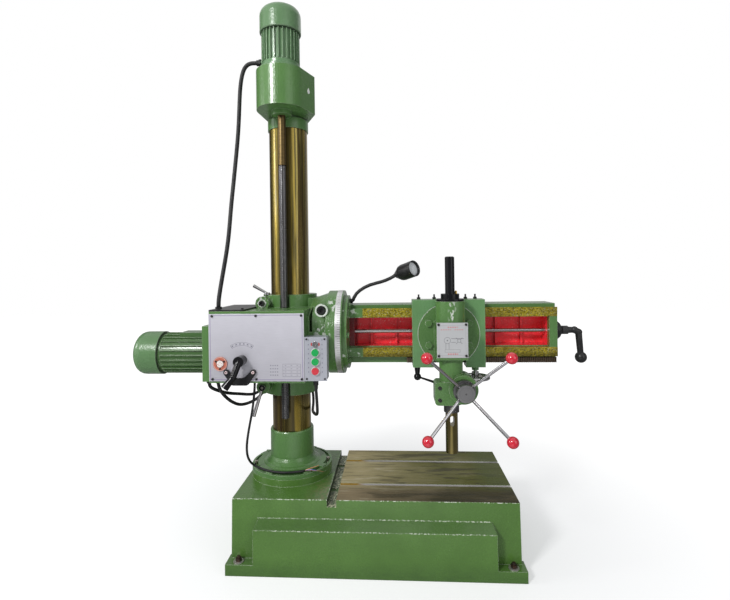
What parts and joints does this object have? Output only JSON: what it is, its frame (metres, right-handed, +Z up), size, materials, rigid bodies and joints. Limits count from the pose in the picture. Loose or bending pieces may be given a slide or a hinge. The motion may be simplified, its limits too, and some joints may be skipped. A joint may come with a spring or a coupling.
{
  "type": "radial arm drill",
  "caption": "Small radial arm drilling machine with a cast box base, swinging column, motor-lifted arm, speed gearbox and a traversing tilting drill head",
  "frame": {"origin": "centre of the base casting's footprint on the floor", "axes": "+X along the arm to the right as seen from the front, +Y from the front to the back, +Z up along the column"},
  "size_m": [1.578, 0.6084, 1.892],
  "materials": {
    "green_paint": "gloss",
    "black_plastic": "satin",
    "black_metal": "satin",
    "cast_iron": "machined",
    "bright_steel": "turned",
    "zinc_steel": "zinc",
    "oiled_steel": "ground and oiled",
    "dark_steel": "oiled",
    "bronze": "turned",
    "aluminium": "satin",
    "oil_glass": "clear over red",
    "chrome": "polished",
    "green_plastic": "gloss",
    "red_plastic": "gloss",
    "cable_rubber": "matte"
  },
  "bodies": {
    "base": {"base_casting": "green_paint", "anchor_bolts": "zinc_steel"},
    "column": {"swivel_flange": "green_paint", "swivel_clamp_bolts": "zinc_steel", "column_tube": "oiled_steel", "lift_housing": "green_paint", "lift_motor_body": "green_paint", "lift_fan_cover": "green_paint", "lift_conduit": "cable_rubber", "supply_lead": "cable_rubber"},
    "lift_screw": {"lead_screw": "dark_steel", "lift_rotor": "cast_iron"},
    "sleeve": {"arm_sleeve": "green_paint", "sleeve_bolts": "black_metal", "lift_nut": "bronze", "graduated_band": "aluminium", "gearbox_case": "green_paint", "gearbox_lid": "black_metal", "front_panel": "aluminium", "panel_screws": "black_metal", "switch_box": "aluminium", "oil_sight": "oil_glass", "shift_quadrant": "black_metal", "motor_plate": "green_paint", "main_motor_body": "green_paint", "main_fan_cover": "green_paint", "electrical_cabinet": "green_paint", "motor_cable": "cable_rubber", "control_cable": "cable_rubber", "station_cable": "cable_rubber"},
    "motor_drive": {"motor_rotor": "cast_iron"},
    "gear_shaft": {"gearbox_shaft": "cast_iron"},
    "upper_lever": {"upper_clamp_lever": "chrome"},
    "lower_lever": {"lower_clamp_lever": "chrome"},
    "speed_lever": {"shift_lever": "black_plastic"},
    "selector": {"selector_switch": "black_plastic"},
    "green_upper": {"upper_green_button": "green_plastic"},
    "green_lower": {"lower_green_button": "green_plastic"},
    "stop": {"red_button": "red_plastic"},
    "arm": {"arm_beam": "green_paint", "arm_bolts": "green_paint", "arm_rack": "dark_steel", "shaft_end_cap": "black_plastic"},
    "lamp_neck": {"lamp_gooseneck": "black_plastic"},
    "lamp": {"lamp_head": "black_plastic"},
    "line_shaft": {"drive_shaft": "bright_steel", "end_crank": "black_metal"},
    "saddle_body": {"saddle": "green_paint", "gib_screws": "black_metal"},
    "handwheel": {"traverse_handwheel": "chrome"},
    "saddle_lever": {"saddle_clamp_lever": "black_metal"},
    "bevel": {"shaft_bevel": "cast_iron"},
    "head": {"head_casting": "green_paint", "head_plate": "aluminium", "spindle_tube": "black_metal"},
    "cross": {"cross_shaft": "cast_iron"},
    "spindle_gear": {"spindle_drive": "cast_iron"},
    "quill_body": {"quill": "bright_steel"},
    "spindle_body": {"spindle": "oiled_steel"},
    "feed": {"feed_handle": "bright_steel"}
  },
  "joints": [
    {"name": "column_swing", "type": "hinge", "parent": "base", "child": "column", "pos_m": [-0.311, 0.016, 0.254], "axis": [0, 0, 1], "range_deg": [-180, 180]},
    {"name": "arm_lift", "type": "slide", "parent": "column", "child": "sleeve", "axis": [0, 0, 1], "range_m": [-0.06, 0.55], "deforming": ["lift_conduit", "supply_lead"]},
    {"name": "lift_screw_turn", "type": "hinge", "parent": "column", "child": "lift_screw", "pos_m": [-0.311, -0.087, 1.53], "axis": [0, 0, 1], "continuous": true},
    {"name": "arm_roll", "type": "hinge", "parent": "sleeve", "child": "arm", "pos_m": [-0.102, -0.024, 0.751], "axis": [1, 0, 0], "range_deg": [-90, 90]},
    {"name": "head_traverse", "type": "slide", "parent": "arm", "child": "saddle_body", "axis": [1, 0, 0], "range_m": [-0.17, 0.2]},
    {"name": "traverse_wheel_turn", "type": "hinge", "parent": "saddle_body", "child": "handwheel", "pos_m": [0.3515, -0.0765, 0.6], "axis": [0, 0, 1], "range_deg": [-545, 640]},
    {"name": "head_swivel", "type": "hinge", "parent": "saddle_body", "child": "head", "pos_m": [0.258, -0.12, 0.751], "axis": [0, 1, 0], "range_deg": [-60, 60]},
    {"name": "quill_feed", "type": "slide", "parent": "head", "child": "quill_body", "axis": [0, 0, -1], "range_m": [0, 0.12]},
    {"name": "feed_turn", "type": "hinge", "parent": "head", "child": "feed", "pos_m": [0.292, -0.169, 0.586], "axis": [0, -1, 0], "range_deg": [0, 575]},
    {"name": "drive_turn", "type": "hinge", "parent": "sleeve", "child": "line_shaft", "pos_m": [-0.102, -0.024, 0.751], "axis": [1, 0, 0], "continuous": true},
    {"name": "gear_shaft_turn", "type": "hinge", "parent": "sleeve", "child": "gear_shaft", "pos_m": [-0.311, -0.134, 0.751], "axis": [1, 0, 0], "continuous": true},
    {"name": "motor_turn", "type": "hinge", "parent": "sleeve", "child": "motor_drive", "pos_m": [-0.611, -0.09331, 0.688], "axis": [1, 0, 0], "continuous": true},
    {"name": "bevel_turn", "type": "hinge", "parent": "saddle_body", "child": "bevel", "pos_m": [0.258, -0.024, 0.751], "axis": [1, 0, 0], "continuous": true},
    {"name": "cross_turn", "type": "hinge", "parent": "head", "child": "cross", "pos_m": [0.258, -0.094, 0.751], "axis": [0, 1, 0], "continuous": true},
    {"name": "spindle_gear_turn", "type": "hinge", "parent": "head", "child": "spindle_gear", "pos_m": [0.258, -0.169, 0.83], "axis": [0, 0, 1], "continuous": true},
    {"name": "spindle_turn", "type": "hinge", "parent": "quill_body", "child": "spindle_body", "pos_m": [0.258, -0.169, 0.53], "axis": [0, 0, 1], "continuous": true},
    {"name": "upper_green_press", "type": "slide", "parent": "sleeve", "child": "green_upper", "axis": [0, 1, 0], "range_m": [0, 0.004], "stiffness_N_per_m": 500},
    {"name": "lower_green_press", "type": "slide", "parent": "sleeve", "child": "green_lower", "axis": [0, 1, 0], "range_m": [0, 0.004], "stiffness_N_per_m": 500},
    {"name": "red_press", "type": "slide", "parent": "sleeve", "child": "stop", "axis": [0, 1, 0], "range_m": [0, 0.004], "stiffness_N_per_m": 500},
    {"name": "selector_turn", "type": "hinge", "parent": "sleeve", "child": "selector", "pos_m": [-0.178, -0.234, 0.7355], "axis": [0, 1, 0], "range_deg": [-45, 45]},
    {"name": "speed_shift", "type": "hinge", "parent": "sleeve", "child": "speed_lever", "pos_m": [-0.417, -0.234, 0.686], "axis": [0, 1, 0], "range_deg": [-25, 25]},
    {"name": "upper_clamp", "type": "hinge", "parent": "sleeve", "child": "upper_lever", "pos_m": [-0.381, -0.05, 0.887], "axis": [0, 0, 1], "range_deg": [0, 60]},
    {"name": "lower_clamp", "type": "hinge", "parent": "sleeve", "child": "lower_lever", "pos_m": [-0.387, -0.098, 0.566], "axis": [0, 1, 0], "range_deg": [-30, 0]},
    {"name": "saddle_clamp", "type": "hinge", "parent": "saddle_body", "child": "saddle_lever", "pos_m": [0.152, -0.095, 0.638], "axis": [0, 0, 1], "range_deg": [0, 60]},
    {"name": "lamp_swivel", "type": "hinge", "parent": "arm", "child": "lamp_neck", "pos_m": [-0.086, 0.006, 0.858], "axis": [1, 0, 0], "range_deg": [-45, 10]},
    {"name": "lamp_tilt", "type": "hinge", "parent": "lamp_neck", "child": "lamp", "pos_m": [0.081, 0.004, 0.9505], "axis": [0.685, 0.7285, 0], "range_deg": [-25, 25]}
  ],
  "couplings": [
    {"joint": "lift_screw_turn", "follows": "arm_lift", "rad_per_m": -1047.2},
    {"joint": "traverse_wheel_turn", "follows": "head_traverse", "rad_per_m": 55.556},
    {"joint": "feed_turn", "follows": "quill_feed", "rad_per_m": 83.333},
    {"joint": "gear_shaft_turn", "follows": "drive_turn", "ratio": -3.4},
    {"joint": "motor_turn", "follows": "drive_turn", "ratio": 6.8},
    {"joint": "bevel_turn", "follows": "drive_turn", "ratio": 1},
    {"joint": "cross_turn", "follows": "drive_turn", "ratio": -1},
    {"joint": "spindle_gear_turn", "follows": "drive_turn", "ratio": 1},
    {"joint": "spindle_turn", "follows": "drive_turn", "ratio": 1}
  ]
}
